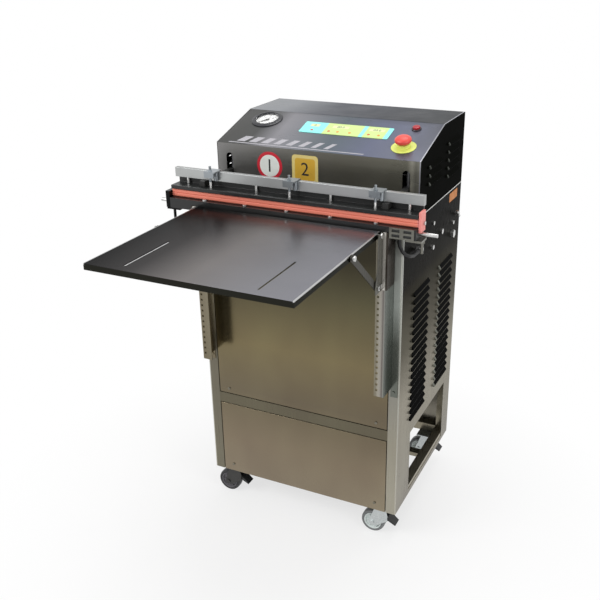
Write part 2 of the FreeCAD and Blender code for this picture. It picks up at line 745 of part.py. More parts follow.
def make_brackets():
    """Folded bracket round each rack, flat strut and the pins that join them to the table."""
    outer_x = (rack_x[1] + bracket_clear, rack_x[1] + bracket_clear + bracket_sheet)
    side = box(outer_x, (bracket_front, -8), (z_bracket[0], z_jaw_low - 1))
    front = box((ear_x, outer_x[1]), (bracket_front, bracket_front + bracket_sheet), z_bracket)
    ear = box((ear_x, ear_x + bracket_sheet), (ear_front, bracket_front + bracket_sheet), z_bracket)
    chamfer = along_x([(ear_front - 1, z_bracket[0] + 25), (ear_front - 1, z_bracket[1] + 1),
                       (ear_front + 12, z_bracket[1] + 1), (ear_front + 12, z_bracket[0] + 60)],
                      (ear_x - 1, ear_x + bracket_sheet + 1))
    bracket = fused([side, front, ear]).cut(chamfer)

    foot_z = z_bracket[0] + strut_foot_rise
    strut_x = (table_half + 0.6, table_half + 0.6 + strut_thick)
    run = strut_foot_y - strut_table_y
    rise = foot_z - z_hinge
    length = math.hypot(run, rise)
    side_y = strut_half * rise / length
    side_z = strut_half * run / length
    ends = [(strut_table_y, z_hinge), (strut_foot_y, foot_z)]
    outline = [(ends[0][0] + side_y, ends[0][1] - side_z), (ends[1][0] + side_y, ends[1][1] - side_z),
               (ends[1][0] - side_y, ends[1][1] + side_z), (ends[0][0] - side_y, ends[0][1] + side_z)]
    bar = fused([along_x(outline, strut_x)] + [rod((strut_x[0], y, z), (1, 0, 0), strut_half, strut_thick)
                                               for y, z in ends])

    pins = []
    holes = []
    for y, z, x0 in ((hinge_y, z_hinge, table_half - 3), (strut_table_y, z_hinge, table_half - 3),
                     (strut_foot_y, foot_z, strut_x[0] - 2), (strut_foot_y + 14, foot_z, ear_x - 2)):
        shank = rod((x0, y, z), (1, 0, 0), pin_r, ear_x + bracket_sheet + seat - x0)
        head = hex_along((ear_x + bracket_sheet + seat, y, z), (1, 0, 0), pin_r + 2.5, 3)
        pins.append(shank.fuse(head))
        holes.append(rod((x0 - 4, y, z), (1, 0, 0), pin_r + hole_clearance, 30))
    save("table_brackets", *both(cut(bracket, holes)))
    save("table_struts", *both(cut(bar, holes)))
    save("table_pins", *both(*pins))


def make_racks():
    """Folded channel on each front corner, with a row of holes near its outer edge."""
    x0, x1 = rack_x
    z = (z_bracket[0] - table_travel - rack_spare, z_jaw_low - rack_top_gap)
    face = box(rack_x, (rack_front, rack_front + rack_sheet), z)
    web = box((x1 - rack_sheet, x1), (rack_front, -seat), z)
    flange = box((x1 - rack_sheet, x1 + rack_flange), (-seat - rack_sheet, -seat), (z[0] - rack_tail, z[1]))
    count = int((z[1] - z[0] - rack_slot_pitch) / rack_slot_pitch)
    rows = [z[0] + rack_slot_pitch * (k + 1) for k in range(count)]
    through = (rack_front - 1, rack_front + rack_sheet + 1)
    screw = hex_along((x1 + rack_flange / 2 - 2, -seat - rack_sheet - screw_head, z[0] - rack_tail / 2),
                        (0, 1, 0), screw_head_r + 0.5, screw_head)
    rack = fused([face, web, flange]).fuse(screw)
    racks = []
    for shape, left in ((mirrored(rack), -x1), (rack, x0)):
        slot_x = (left + rack_slot[0], left + rack_slot[1])
        racks.append(cut(shape, [box(slot_x, through, (low, low + rack_slot_height)) for low in rows]))
    save("table_racks", *racks)


# ---- Casters ------------------------------------------------------------------------------------------------
def make_casters():
    """Plate, swivelling fork, wheel and brake pedal; each trails towards the operator's left."""
    plate_z = (z_base - caster_plate, z_base)
    crown_top = plate_z[0] - 0.3
    race_low = crown_top - race_height
    crown_low = race_low - fork_sheet
    inside = wheel_width / 2 + fork_gap
    outside = inside + fork_sheet
    plates = []
    corners = {"front_left": (-1, 0), "front_right": (1, 0), "rear_left": (-1, 1), "rear_right": (1, 1)}
    for name, (side, rear) in corners.items():
        at = V(side * caster_x, cab_depth - caster_y if rear else caster_y, 0)

        plate = box((-caster_plate_half, caster_plate_half), (-caster_plate_half, caster_plate_half), plate_z)
        plate = plate.cut(rod((0, 0, plate_z[0] - 1), (0, 0, 1), kingpin_r + slide_fit, 10))

        crown = box((-16, 16), (-outside, outside), (crown_low, race_low))
        race = rod((0, 0, race_low), (0, 0, 1), race_r, race_height)
        pin = rod((0, 0, crown_top - 1), (0, 0, 1), kingpin_r, caster_plate + 0.8)
        cheek = [(-16, race_low), (16, race_low), (21, pedal_pivot_z + 7), (21, pedal_pivot_z - 7),
                 (-trail + 9, wheel_r - 9), (-trail - 8, wheel_r - 6), (-trail - 9, wheel_r + 5)]
        legs = [along_y(cheek, (inside, outside)), along_y(cheek, (-outside, -inside))]
        axle = rod((-trail, -inside, wheel_r), (0, 1, 0), axle_r, 2 * inside)
        axle_nuts = [hex_along((-trail, y, wheel_r), (0, 1, 0), axle_r + 2.5, axle_nut)
                     for y in (-outside - axle_nut, outside)]
        pedal_pin = rod((pedal_pivot_x, -inside, pedal_pivot_z), (0, 1, 0), pedal_pin_r, 2 * inside)
        fork = fused([crown, race, pin, axle, pedal_pin] + legs + axle_nuts)

        half = wheel_width / 2
        side = [(axle_r + slide_fit, half + 1), (hub_r, half + 1), (wheel_r - 8, half - 3),
                (wheel_r - 4, half), (wheel_r, half - 3)]
        outline = [(r, -y) for r, y in side] + side[::-1]
        face = Part.Face(Part.makePolygon([V(r, y, 0) for r, y in outline + outline[:1]]))
        wheel = face.revolve(V(0, 0, 0), V(0, 1, 0), 360)
        wheel.translate(V(-trail, 0, wheel_r))

        px, pz = pedal_pivot_x, pedal_pivot_z
        lever = [(px - 4.5, pz - 4.5), (px + 5, pz - 7), (pedal_reach, pz - 17), (pedal_reach + 2, pz - 14),
                 (px + 12, pz - 1), (px + 4, pz + 5), (px - 4.5, pz + 4.5)]
        pedal = along_y(lever, (-inside + 1, inside - 1))
        pedal = pedal.cut(rod((px, -outside - 3, pz), (0, 1, 0), pedal_pin_r + slide_fit, 2 * outside + 6))

        for shape in (plate, fork, wheel, pedal):
            shape.translate(at)
        plates.append(plate)
        save("fork_" + name, fork)
        save("wheel_" + name, wheel)
        save("pedal_" + name, pedal)
    save("caster_plates", *plates)


# ---- Inside of the cabinet ---------------------------------------------------------------------------------
def make_pump():
    """Oil-sealed vane pump with its motor, feet and exhaust filter, on the two cross rails."""
    x0, x1 = pump_x
    y0, y1 = pump_y
    floor = z_base + cross_rail_height + seat
    mid_y = (y0 + y1) / 2
    block = box(pump_x, (y0 + 8, y1 - 8), (floor + 8, floor + pump_height))
    feet = [box((x, x + 22), pump_y, (floor, floor + 10)) for x in (x0 + 5, x1 - 27)]
    lid = box((x0 + 8, x1 - 8), (y0 + 20, y1 - 20), (floor + pump_height, floor + pump_height + 14))
    fins = [box((x0 + 16 + 28 * k, x0 + 22 + 28 * k), (y0 + 2, y1 - 2), (floor + 24, floor + pump_height - 14))
            for k in range(5)]
    motor = rod((x0 - motor_length, mid_y, floor + motor_rise), (1, 0, 0), motor_r, motor_length + 2)
    motor_foot = box((x0 - motor_length + 20, x0 - 40), (y0 + 5, y1 - 5), (floor, floor + 30))
    terminal = box((x0 - 130, x0 - 60), (mid_y - 35, mid_y + 35), (floor + 130, floor + 165))
    port = rod((x1 - 50, mid_y, floor + pump_height + 10), (0, 0, 1), 14, 34)
    save("vacuum_pump", fused([block, lid, motor, motor_foot, terminal, port] + feet + fins))
    filter_x = x0 + 30
    canister = rod((filter_x, mid_y, floor + pump_height + 14 + seat), (0, 0, 1), 24, 70)
    neck = rod((filter_x, mid_y, floor + pump_height + 84), (0, 0, 1), 10, 18)
    save("exhaust_filter", canister.fuse(neck))
    return V(x1 - 50, mid_y, floor + pump_height + 44)


def tube_along(points, radius, bend_limit):
    """Round hose: straight runs joined by tangent arcs, up to a bend radius that the runs allow."""
    corners = [V(*p) for p in points]
    edges = []
    bends = []
    start = corners[0]
    for before, here, after in zip(corners, corners[1:], corners[2:]):
        run_in = (here - before).normalize()
        run_out = (after - here).normalize()
        half_turn = run_in.getAngle(run_out) / 2
        back = min(0.45 * (here - before).Length, 0.45 * (after - here).Length,
                   bend_limit * math.tan(half_turn))
        arc_start = here - run_in * back
        arc_end = here + run_out * back
        bend = back / math.tan(half_turn)
        bends.append(round(bend))
        middle = here + (run_out - run_in).normalize() * (math.hypot(back, bend) - bend)
        edges.append(Part.makeLine(start, arc_start))
        edges.append(Part.Arc(arc_start, middle, arc_end).toShape())
        start = arc_end
    edges.append(Part.makeLine(start, corners[-1]))
    path = Part.Wire(edges)
    section = Part.Wire([Part.makeCircle(radius, corners[0], corners[1] - corners[0])])
    hose = path.makePipeShell([section], True, False)
    expected = math.pi * radius ** 2 * path.Length
    print("hose length %.0f, volume ratio %.4f, radii" % (path.Length, hose.Volume / expected), bends)
    return hose


def make_services(port):
    """Vacuum hose, valve block and control box inside, and the connections outside."""
    entry = z_sheet_top - valve_height
    block = box((-valve_half, valve_half), valve_y, (entry, z_sheet_top))
    coils = [rod((x, valve_y[0] + 25, entry + 1), (0, 0, -1), coil_r, coil_length)
             for x in (-coil_pitch, 0, coil_pitch)]
    save("valve_block", fused([block] + coils))

    entry -= seat
    port = (port.x, port.y, port.z + seat)
    top = (valve_half - 10, valve_y[1] - 18)
    route = [port, (port[0], port[1], port[2] + 150), (top[0], top[1], entry - 160), (top[0], top[1], entry)]
    save("vacuum_hose", tube_along(route, hose_r, hose_bend))

    box_y = (frame_back - seat - control_box_depth, frame_back - seat)
    save("control_box", box(control_box_x, box_y, [z_base + h for h in control_box_rise]))

    back = cab_depth + seat
    reach = inlet_reach - seat
    gland = rod((gland_x, back, inlet_z), (0, 1, 0), gland_r, reach)
    gland_nut = hex_along((gland_x, back, inlet_z), (0, 1, 0), gland_r + 5, 4)
    air = rod((inlet_x, back, inlet_z), (0, 1, 0), inlet_r, reach)
    air_nut = hex_along((inlet_x, back, inlet_z), (0, 1, 0), inlet_r + 5, 4)
    save("rear_inlets", gland.fuse(gland_nut), air.fuse(air_nut))

    face = cab_half + seat
    fittings = []
    for from_back, drop, radius, reach in side_spots:
        at = (face, cab_depth - from_back, z_deck - drop)
        fittings.append(hex_along(at, (1, 0, 0), radius, reach))
    from_back, drop = lever_spot
    at = V(face, cab_depth - from_back, z_deck - drop)
    stem = rod(at, (1, 0, 0), 5, 12)
    lever = rod(at + V(9, -11, 10), (0, 1, -0.9), 3, lever_length)
    fittings.append(stem.fuse(lever))
    out = cab_half + 2 * jaw_hose_r + 2
    low = z_jaw_low - elbow_drop
    elbow = hex_along((face, elbow_y, low), (1, 0, 0), 6.5, out + 6.5 - face)
    socket = rod((out, elbow_y - 12, low), (0, 1, 0), 6, 12)
    fittings.append(elbow.fuse(socket))
    save("side_fittings", *fittings)

    x = cab_half
    hose = tube_along([(x - 8, -9, z_jaw_low - seat), (x - 8, -9.5, low + 41), (x + 3, -10, low + 21),
                       (x + 11.5, 4, low + 11), (out, 40, low), (out, elbow_y - 12 - seat, low)],
                      jaw_hose_r, jaw_hose_bend)
    save("jaw_hose", hose)


make_frame()
make_side_panel()
make_front_panels()
make_rear_panel()
make_deck()
make_hood()
make_gauge()
make_overlay()
make_stop_button()
make_push_button()
make_lower_jaw()
make_jaw_hardware()
make_upper_jaw()
make_jaw_arms()
make_nozzles()
make_table()
make_brackets()
make_racks()
make_casters()
make_services(make_pump())
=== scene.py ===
import bmesh
import bpy
import json
import math
import numpy as np
from mathutils import Matrix, Vector

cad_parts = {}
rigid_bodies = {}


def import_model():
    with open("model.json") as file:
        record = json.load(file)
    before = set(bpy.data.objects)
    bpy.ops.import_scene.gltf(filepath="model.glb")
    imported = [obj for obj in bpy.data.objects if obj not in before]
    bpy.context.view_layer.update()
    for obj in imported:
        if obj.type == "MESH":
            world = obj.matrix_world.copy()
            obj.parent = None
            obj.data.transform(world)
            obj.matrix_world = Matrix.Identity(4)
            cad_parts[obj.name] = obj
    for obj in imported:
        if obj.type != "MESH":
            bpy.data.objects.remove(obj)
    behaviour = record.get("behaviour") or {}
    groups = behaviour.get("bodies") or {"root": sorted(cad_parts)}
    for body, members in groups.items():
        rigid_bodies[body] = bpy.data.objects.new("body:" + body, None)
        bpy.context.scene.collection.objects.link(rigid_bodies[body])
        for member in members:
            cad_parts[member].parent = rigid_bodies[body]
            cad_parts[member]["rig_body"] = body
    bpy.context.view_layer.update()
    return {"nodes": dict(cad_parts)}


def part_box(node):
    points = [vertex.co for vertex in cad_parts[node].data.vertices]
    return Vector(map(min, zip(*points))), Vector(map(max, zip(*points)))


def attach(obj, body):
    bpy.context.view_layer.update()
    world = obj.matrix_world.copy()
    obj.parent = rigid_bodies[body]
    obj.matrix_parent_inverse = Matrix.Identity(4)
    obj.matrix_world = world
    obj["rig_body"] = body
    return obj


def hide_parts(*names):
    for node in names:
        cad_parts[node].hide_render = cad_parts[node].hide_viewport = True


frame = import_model()

# ---- Studio ---------------------------------------------------------------------------------------
# A pale floor and a white surround under soft lamps. The camera looks down on the machine from the
# operator's right.
scene = bpy.context.scene
scene.view_settings.view_transform = "Standard"

camera_place = Vector((0.8459, -1.6541, 1.4595))
camera_yaw, camera_pitch, camera_roll = 0.447, 0.414, -0.013
camera_lens, camera_shift = 49.69, (-0.0267, 0.005)
sight = Vector((-math.sin(camera_yaw) * math.cos(camera_pitch),
                math.cos(camera_yaw) * math.cos(camera_pitch), -math.sin(camera_pitch)))
level = Vector((math.cos(camera_yaw), math.sin(camera_yaw), 0))
upright = level.cross(sight)
across = level * math.cos(camera_roll) + upright * math.sin(camera_roll)
upward = upright * math.cos(camera_roll) - level * math.sin(camera_roll)
camera = bpy.data.objects.new("camera", bpy.data.cameras.new("camera"))
scene.collection.objects.link(camera)
turn = Matrix((across, upward, -sight)).transposed().to_4x4()
camera.matrix_world = Matrix.Translation(camera_place) @ turn
camera.data.lens = camera_lens
camera.data.shift_x, camera.data.shift_y = camera_shift
scene.camera = camera


def soft_lamp(name, place, aim, width, height, watts):
    """A rectangular soft box at a place, turned to face a point."""
    lamp = bpy.data.lights.new(name, "AREA")
    lamp.shape, lamp.size, lamp.size_y, lamp.energy = "RECTANGLE", width, height, watts
    box = bpy.data.objects.new(name, lamp)
    scene.collection.objects.link(box)
    box.location = place
    box.rotation_euler = (Vector(aim) - Vector(place)).to_track_quat("-Z", "Y").to_euler()


soft_lamp("key", (-1.9, -2.3, 2.9), (0, 0, 0.6), 1.8, 1.4, 56)
soft_lamp("side", (2.6, -0.9, 1.4), (0, 0, 0.5), 1.2, 1.6, 20)
soft_lamp("top", (0.2, 0.6, 3.2), (0, 0, 0.8), 1.6, 1.6, 24)


class Field:
    """A socket of a finish: each operator on it adds one Math node."""

    def __init__(self, finish, socket):
        self.finish, self.socket = finish, socket

    def math(self, operation, *operands):
        return self.finish.add("Math", {"operation": operation}, dict(enumerate(operands)))

    def __add__(self, other):
        return self.math("ADD", self, other)

    def __radd__(self, other):
        return self.math("ADD", other, self)

    def __sub__(self, other):
        return self.math("SUBTRACT", self, other)

    def __rsub__(self, other):
        return self.math("SUBTRACT", other, self)

    def __mul__(self, other):
        return self.math("MULTIPLY", self, other)

    def __gt__(self, other):
        return self.math("GREATER_THAN", self, other)

    def __lt__(self, other):
        return self.math("LESS_THAN", self, other)

    def __abs__(self):
        return self.math("ABSOLUTE", self)


class Finish:
    """The nodes of a material or of the surround, and the one way they are added."""

    def __init__(self, owner):
        owner.use_nodes = True
        self.owner, self.tree = owner, owner.node_tree
        self.tree.nodes.clear()

    def add(self, kind, settings, sockets, output=0):
        """A node by its type: its settings first, then the value or link of each socket."""
        node = self.tree.nodes.new("ShaderNode" + kind)
        for key, value in settings.items():
            if key == "stops":
                ramp = node.color_ramp.elements
                ramp.remove(ramp[1])
                for k, (place, colour) in enumerate(value):
                    stop = ramp.new(place) if k else ramp[0]
                    stop.position, stop.color = place, colour
            else:
                setattr(node, key, value)
        for key, value in sockets.items():
            if isinstance(value, Field):
                self.tree.links.new(value.socket, node.inputs[key])
            else:
                node.inputs[key].default_value = value
        return Field(self, node.outputs[output]) if len(node.outputs) else node

    def axis(self, name):
        """Place along X, Y or Z, in metres."""
        where = self.add("TexCoord", {}, {}, "Object")
        return self.add("SeparateXYZ", {}, {"Vector": where}, name)

    def noise(self, stretch, detail=3.0):
        """Noise over the piece, with its own grain along each axis."""
        place = self.add("TexCoord", {}, {}, "Object")
        where = self.add("Mapping", {}, {"Vector": place, "Scale": stretch})
        return self.add("TexNoise", {}, {"Vector": where, "Scale": 1.0, "Detail": detail})

    def between(self, low, high, share):
        """A colour that goes from one to another with a share of 0 to 1."""
        return self.add("Mix", {"data_type": "RGBA"}, {0: share, 6: low, 7: high}, 2)

    def ramp(self, along, stops):
        """A colour that changes through stops, each a place in metres and a colour."""
        first, last = stops[0][0], stops[-1][0]
        share = self.add("MapRange", {}, {"Value": along, "From Min": first, "From Max": last})
        scaled = [((place - first) / (last - first), colour) for place, colour in stops]
        return self.add("ValToRGB", {"stops": scaled}, {0: share})

    def cover(self, shader):
        """The last shader of the owner, a material or the surround, which is returned."""
        kind = "OutputWorld" if isinstance(self.owner, bpy.types.World) else "OutputMaterial"
        self.add(kind, {}, {"Surface": shader})
        return self.owner

    def looked_at(self):
        """One where the camera, a gloss or a glass looks, and nought for light on other things."""
        seen, gloss, through = (self.add("LightPath", {}, {}, ray) for ray in
                                ("Is Camera Ray", "Is Glossy Ray", "Is Transmission Ray"))
        return seen.math("MAXIMUM", seen.math("MAXIMUM", seen, gloss), through)


white = (1, 1, 1, 1)
surround_light = 0.62
surround = Finish(bpy.data.worlds.new("surround"))
dim_light = surround.add("Background", {}, {"Color": white, "Strength": surround_light})
backdrop = surround.add("Background", {}, {"Color": white, "Strength": 1.0})
scene.world = surround.cover(surround.add("MixShader", {}, {0: surround.looked_at(), 1: dim_light,
                                                            2: backdrop}))

floor_half, floor_near, floor_far, near_share = 9, 0.3, 0.95, 0.68
floor_dark, floor_pale = (0.84, 0.84, 0.84, 1), (0.9, 0.9, 0.9, 1)
floor_paint = Finish(bpy.data.materials.new("studio_floor"))
floor_tone = floor_paint.between(floor_dark, floor_pale, floor_paint.noise((6, 6, 6)))
matt_floor = floor_paint.add("BsdfDiffuse", {}, {"Color": floor_tone})
lit_floor = floor_paint.add("Emission", {}, {"Color": white, "Strength": 1.0})
middle = floor_paint.add("TexCoord", {}, {}, "Object")
away = floor_paint.add("VectorMath", {"operation": "LENGTH"}, {0: middle}, "Value")
clear = floor_paint.add("MapRange", {}, {"Value": away, "From Min": floor_near,
                                         "From Max": floor_far, "To Min": near_share,
                                         "To Max": 1.0})
floor_paint.cover(floor_paint.add("MixShader", {}, {0: clear * floor_paint.looked_at(),
                                                    1: matt_floor, 2: lit_floor}))
floor_mesh = bpy.data.meshes.new("studio_floor")
floor_corners = [(a * floor_half, b * floor_half, 0)
                 for a, b in ((-1, -1), (1, -1), (1, 1), (-1, 1))]
floor_mesh.from_pydata(floor_corners, [], [(0, 1, 2, 3)])
floor_mesh.materials.append(floor_paint.owner)
floor = bpy.data.objects.new("studio_floor", floor_mesh)
scene.collection.objects.link(floor)

# ---- Welded frame ---------------------------------------------------------------------------------
# Square stainless tube, satin finished, welded at the corners; the racks for the table are slotted
# channels screwed to the front posts.


def srgb(red, green, blue):
    """Linear colour of three display values from 0 to 255."""
    return (*((c / 255 / 12.92) if c < 10 else ((c / 255 + 0.055) / 1.055) ** 2.4
              for c in (red, green, blue)), 1)


def toned(colour, share):
    """A colour made darker or lighter by a share."""
    return (*(c * share for c in colour[:3]), 1)


def stainless(finish, tone, grain=(420, 420, 4), rough=0.3, metal=0.9, mottle=0.1, rim=1.0,
              depth=0.08, brush=1.0):
    """Satin stainless over a tone. Fine noise stretched along the polishing lines shades and
    roughens it, slow noise gives the uneven, slightly warm and cool tone of handled sheet."""
    cloud_scale, smear_scale, line_depth = (7, 7, 4), (16, 16, 9), 0.0004
    warm_hue, cool_hue, swing = 0.488, 0.512, mottle * 1.6
    lines = finish.noise(grain, 4.0)
    cloud = finish.noise(cloud_scale, 2.0)
    shade = (lines - 0.5) * (0.45 * brush) + (cloud - 0.5) * 1.1 + 0.5
    dark = finish.add("HueSaturation", {}, {"Value": 1 - swing, "Hue": warm_hue, "Color": tone})
    pale = finish.add("HueSaturation", {}, {"Value": 1 + swing, "Hue": cool_hue, "Color": tone})
    smear = finish.noise(smear_scale, 5.0)
    matt = rough + (lines - 0.5) * (0.16 * brush) + (smear - 0.5) * (0.04 + 0.16 * brush)
    relief = finish.add("Bump", {}, {"Height": lines, "Strength": depth, "Distance": line_depth})
    return finish.cover(finish.add("BsdfPrincipled", {}, {
        "Base Color": finish.between(dark, pale, shade), "Roughness": matt, "Metallic": metal,
        "Specular Tint": (rim, rim, rim, 1), "Normal": relief}))


def eased(node, finish, ease=0.0005):
    """The solid's skin merged to one mesh, each edge sharper than the crease angle rounded."""
    same_place, same_plane, crease = 2e-6, math.radians(0.5), math.radians(30)
    solid = frame["nodes"][node]
    mesh = solid.data.copy()
    skin = bmesh.new()
    skin.from_mesh(mesh)
    bmesh.ops.remove_doubles(skin, verts=skin.verts, dist=same_place)
    bmesh.ops.dissolve_limit(skin, angle_limit=same_plane, verts=skin.verts, edges=skin.edges)
    skin.to_mesh(mesh)
    skin.free()
    mesh.materials.clear()
    mesh.materials.append(finish)
    mesh.shade_smooth()
    piece = bpy.data.objects.new(node + "_skin", mesh)
    scene.collection.objects.link(piece)
    bevel = piece.modifiers.new("eased_edges", "BEVEL")
    bevel.width, bevel.segments = ease, 2
    bevel.limit_method, bevel.angle_limit = "ANGLE", crease
    bevel.use_clamp_overlap = True
    level_faces = piece.modifiers.new("level_faces", "WEIGHTED_NORMAL")
    level_faces.mode, level_faces.weight = "FACE_AREA", 100
    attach(piece, solid["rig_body"])
    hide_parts(node)


# The tone ramp up the tubes is painted reflection: lightest low down, darker higher up.
tube = Finish(bpy.data.materials.new("frame_steel"))
frame_steel = stainless(tube, tube.ramp(tube.axis("Z"), [
    (0.1, srgb(150, 143, 126)), (0.3, srgb(104, 98, 82)), (0.36, srgb(104, 98, 82)),
    (0.85, srgb(112, 108, 98))]))
for node in ("frame_posts", "frame_rails"):
    eased(node, frame_steel, 0.0012)
channel = Finish(bpy.data.materials.new("rack_steel"))
# Painted light and shade across the racks: the left rack is lightened against the table's shadow,
# and the right rack carries painted highlight stripes with a painted dark line between them.
rack_tone = channel.ramp(channel.axis("X"), [
    (-0.25, srgb(116, 107, 88)), (-0.22, srgb(128, 120, 102)), (0.229, srgb(128, 122, 106)),
    (0.235, srgb(158, 153, 142)), (0.241, srgb(150, 145, 138)), (0.2445, srgb(92, 84, 80)),
    (0.2475, srgb(150, 150, 144)), (0.25, srgb(80, 86, 80))])
# The right rack's flange carries a painted highlight high up, and is darker lower down.
flange_tone = channel.ramp(channel.axis("Z"), [
    (0.43, srgb(104, 108, 101)), (0.58, srgb(108, 111, 104)), (0.68, srgb(182, 187, 181)),
    (0.8, srgb(176, 179, 173)), (0.86, srgb(120, 120, 114))])
flange_start, dull_from, dull_to = 0.2505, 0.5, 0.7
rack_tone = channel.between(rack_tone, flange_tone, channel.axis("X") > flange_start)
near_top = channel.add("MapRange", {}, {"Value": channel.axis("Z"), "From Min": dull_from,
                                        "From Max": dull_to})
rack_steel = stainless(channel, rack_tone, rough=0.24, metal=0.9 - near_top * 0.5)
eased("table_racks", rack_steel, 0.0003)

# ---- Casters --------------------------------------------------------------------------------------
# Four braked plate casters: pressed forks on a swivel race, zinc on the right and dark on the left
# as painted shade, rubber tyres on ribbed hubs, the left hubs dark as painted shade and the right
# tyres and hubs pale as painted light, and a foot pedal on each that leans on the tread.


def plated(name, tint, rough=0.28):
    """Zinc or chrome plate with a faint crystal mottle and rubbed patches."""
    flake_scale, rub_scale, rub_depth = 240.0, (40, 40, 40), 0.0005
    finish = Finish(bpy.data.materials.new(name))
    place = finish.add("TexCoord", {}, {}, "Object")
    flake = finish.add("TexVoronoi", {}, {"Vector": place, "Scale": flake_scale}, "Distance")
    rub = finish.noise(rub_scale, 4.0)
    colour = finish.between(toned(tint, 0.72), tint, flake * 0.5 + rub * 0.5)
    relief = finish.add("Bump", {}, {"Height": rub, "Strength": 0.1, "Distance": rub_depth})
    return finish.cover(finish.add("BsdfPrincipled", {}, {
        "Base Color": colour, "Roughness": rough + (rub - 0.5) * 0.25, "Metallic": 0.95,
        "Normal": relief}))


def moulded(name, tint, rough=0.5, grain=900.0):
    """Plastic or rubber with a fine spark texture and dust that greys it a little."""
    finish = Finish(bpy.data.materials.new(name))
    return moulded_over(finish, tint, toned(tint, 0.8), rough, grain)


def moulded_over(finish, tone, dusty, rough, grain):
    """Moulded surface over a tone: dust in soft patches, and pores as fine relief."""
    dust_scale, pore_depth = (30, 30, 30), 0.0003
    pore = finish.noise((grain, grain, grain), 2.0)
    dust = finish.noise(dust_scale, 5.0)
    relief = finish.add("Bump", {}, {"Height": pore, "Strength": 0.15, "Distance": pore_depth})
    return finish.cover(finish.add("BsdfPrincipled", {}, {
        "Base Color": finish.between(tone, dusty, (dust - 0.45) * 2.2),
        "Roughness": rough + (dust - 0.5) * 0.3, "Metallic": 0.0, "Normal": relief}))


def shell(name, points, faces, finish, body, smooth=True):
    """A mesh piece from points and faces, its doubles merged and its normals outward."""
    same_place = 1e-7
    mesh = bpy.data.meshes.new(name)
    mesh.from_pydata(np.asarray(points, float).reshape(-1, 3).tolist(), [], faces)
    skin = bmesh.new()
    skin.from_mesh(mesh)
    bmesh.ops.remove_doubles(skin, verts=skin.verts, dist=same_place)
    bmesh.ops.recalc_face_normals(skin, faces=skin.faces)
    skin.to_mesh(mesh)
    skin.free()
    mesh.materials.append(finish)
    if smooth:
        mesh.shade_smooth()
    piece = bpy.data.objects.new(name, mesh)
    scene.collection.objects.link(piece)
    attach(piece, body)
    return piece


def revolved(profile):
    """Surface of revolution: point (r, h) of the profile goes to (r cos t, r sin t, h) for t all
    round; a profile that starts and ends on the axis closes the piece. Returns points and faces."""
    steps = 72
    profile = np.asarray(profile, float)
    t = np.linspace(0, 2 * np.pi, steps, endpoint=False)
    r, h = profile[:, :1], profile[:, 1:]
    points = np.stack([r * np.cos(t), r * np.sin(t), h + 0 * t], -1).reshape(-1, 3)
    rows = np.arange(len(profile) - 1)[:, None] * steps
    k = np.arange(steps)[None, :]
    n = (k + 1) % steps
    faces = np.stack([rows + k, rows + n, rows + steps + n, rows + steps + k], -1).reshape(-1, 4)
    return points, faces.tolist()


def slab(outline, low, high):
    """Plate: an outline of (a, b) points carried from one height to another. Points and faces."""
    outline = np.asarray(outline, float)
    n = len(outline)
    rings = [np.column_stack([outline, np.full(n, h)]) for h in (low, high)]
    k = np.arange(n)
    walls = np.stack([k, (k + 1) % n, n + (k + 1) % n, n + k], -1).tolist()
    return np.vstack(rings), walls + [list(range(n))[::-1], list(range(n, 2 * n))]


def gathered(*parts):
    """Several sets of points and faces as one."""
    points, faces, start = [], [], 0
    for own_points, own_faces in parts:
        points.append(own_points)
        faces += [[start + k for k in face] for face in own_faces]
        start += len(own_points)
    return np.vstack(points), faces


caster_zinc = plated("caster_zinc", srgb(206, 211, 211))
pedal_black = moulded("pedal_black", srgb(24, 25, 25), 0.4)
# Lit and shaded copies of the caster finishes: the left fork and hub colours are painted shade, the
# right tyre and hub colours are painted light.
forks = {"left": moulded("fork_painted_shade", srgb(42, 41, 38), 0.36), "right": caster_zinc}
tyres = {"left": moulded("tyre_black", srgb(36, 36, 37), 0.5),
         "right": moulded("tyre_painted_light", srgb(112, 114, 115), 0.5)}
hubs = {"left": moulded("hub_painted_shade", srgb(90, 88, 92), 0.42),
        "right": moulded("hub_painted_light", srgb(212, 220, 218), 0.38)}
eased("caster_plates", caster_zinc, 0.0004)
# Sections as radius and place along the axle.
tyre = [(0.0248, -0.0116), (0.0285, -0.0128), (0.0312, -0.0108), (0.0324, -0.007), (0.0325, 0.0),
        (0.0324, 0.007), (0.0312, 0.0108), (0.0285, 0.0128), (0.0248, 0.0116), (0.0240, 0.0),
        (0.0248, -0.0116)]
hub = [(0.0, -0.0122), (0.0072, -0.0122), (0.0080, -0.0114), (0.0086, -0.0078), (0.0196, -0.0078),
       (0.0212, -0.0110), (0.0242, -0.0116), (0.0246, 0.0), (0.0242, 0.0116), (0.0212, 0.0110),
       (0.0196, 0.0078), (0.0086, 0.0078), (0.0080, 0.0114), (0.0072, 0.0122), (0.0, 0.0122)]
rib = [(0.007, -0.0011), (0.0205, -0.0008), (0.0205, 0.0008), (0.007, 0.0011)]
rib_count, rib_half = 6, 0.0104
ribs = []
for step in range(rib_count):
    turned_by = step * 2 * math.pi / rib_count
    spin = np.array([(math.cos(turned_by), math.sin(turned_by)),
                     (-math.sin(turned_by), math.cos(turned_by))])
    ribs.append(slab(np.array(rib) @ spin, -rib_half, rib_half))
for end in ("front", "rear"):
    for side in ("left", "right"):
        corner = f"{end}_{side}"
        low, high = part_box("wheel_" + corner)
        centre = np.array((low + high) / 2)
        eased("fork_" + corner, forks[side])
        eased("pedal_" + corner, pedal_black, 0.0008)
        for part, shape, finish in (("tyre", revolved(tyre), tyres[side]),
                                    ("hub", gathered(revolved(hub), *ribs), hubs[side])):
            points = shape[0][:, [0, 2, 1]] + centre
            piece = shell(f"{part}_{corner}", points, shape[1], finish, "roll_" + corner,
                          smooth=part == "tyre")
            if part == "tyre":
                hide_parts("wheel_" + corner)
